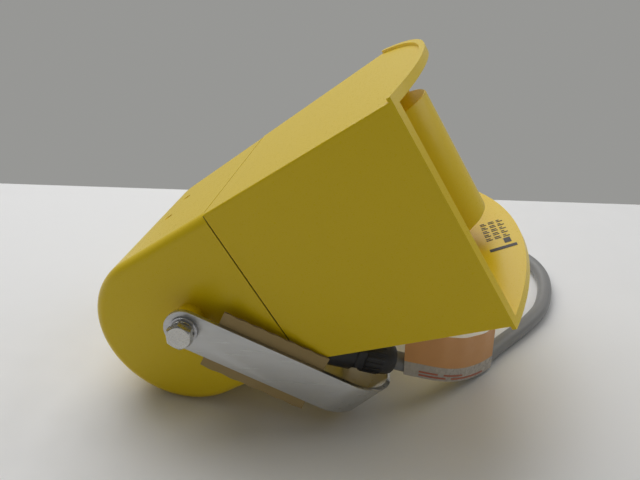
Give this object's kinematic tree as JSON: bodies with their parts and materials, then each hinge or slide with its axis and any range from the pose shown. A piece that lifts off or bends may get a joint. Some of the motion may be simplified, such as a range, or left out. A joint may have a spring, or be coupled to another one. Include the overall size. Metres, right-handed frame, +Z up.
{
  "type": "warning horn",
  "caption": "Wide-mouthed re-entrant warning horn: a wedge-shaped bell on a round rear housing, a folded tilt bracket bolted at its sides, and a short flying lead.",
  "frame": {"origin": "centre of the horn's footprint on the surface it lies on, cable left out", "axes": "+X towards the mouth, +Y to the horn's left, +Z up"},
  "size_m": [0.3155, 0.2968, 0.2055],
  "materials": {
    "yellow_shell": "satin moulded, slightly orange-peel",
    "black_rubber": "matt",
    "steel_screw": "zinc plated",
    "cast_alloy": "as cast",
    "resin_film": "moulded phenolic film",
    "copper_wire": "enamelled winding",
    "plated_steel": "zinc plated",
    "ferrite": "sintered, dark grey",
    "board_green": "solder mask over glass laminate",
    "brass": "turned",
    "capacitor_sleeve": "shrink sleeve",
    "aluminium_fin": "extruded",
    "blue_plastic": "moulded",
    "white_plastic": "moulded",
    "stainless_bolt": "turned stainless",
    "stainless_strip": "satin stainless sheet",
    "cardboard": "plain corrugated board, kraft brown",
    "black_nylon": "moulded nylon",
    "grey_sheath": "extruded sheath",
    "core_insulation": "thin insulation",
    "tag_film": "peach film, folded",
    "label_film": "printed film, blank"
  },
  "bodies": {
    "horn": {"rear_housing": "yellow_shell", "horn_bell": "yellow_shell", "seam_gasket": "black_rubber", "housing_screws": "steel_screw", "driver_flange": "cast_alloy", "driver_screws": "steel_screw", "top_plate": "plated_steel", "magnet": "ferrite", "yoke": "plated_steel", "inner_horn": "yellow_shell", "reflex_island": "yellow_shell", "island_vanes": "yellow_shell", "circuit_board": "board_green", "board_standoffs": "brass", "board_screws": "steel_screw", "capacitors": "capacitor_sleeve", "transformer": "ferrite", "heat_sink": "aluminium_fin", "terminal_block": "blue_plastic", "trimmer_body": "blue_plastic", "pivot_inserts": "brass", "pivot_bolts": "stainless_bolt", "spring_washers": "stainless_bolt", "flat_washers": "stainless_bolt", "gland_adapter": "black_nylon", "gland_washer": "black_rubber", "gland_body": "black_nylon", "gland_seal": "black_rubber", "gland_nut": "black_nylon", "inner_lead": "grey_sheath", "cable": "grey_sheath", "cable_cores": "core_insulation", "cable_tag": "tag_film", "lip_label": "label_film"},
    "bracket": {"bracket": "stainless_strip", "packing_pad_near": "cardboard", "packing_pad_far": "cardboard"},
    "diaphragm": {"diaphragm": "resin_film", "voice_coil": "copper_wire"},
    "trimmer": {"trimmer_rotor": "white_plastic"}
  },
  "joints": [
    {"name": "bracket_tilt", "type": "hinge", "parent": "horn", "child": "bracket", "pos_m": [-0.06523, 0, 0.06467], "axis": [0, 1, 0], "range_deg": [0, 200]},
    {"name": "diaphragm_stroke", "type": "slide", "parent": "horn", "child": "diaphragm", "axis": [0.8572, 0, 0.515], "range_m": [-0.0005, 0.0005], "stiffness_N_per_m": 2000},
    {"name": "trimmer_turn", "type": "hinge", "parent": "horn", "child": "trimmer", "pos_m": [-0.09482, 0, 0.06556], "axis": [0.8572, 0, 0.515], "range_deg": [-135, 135]}
  ]
}
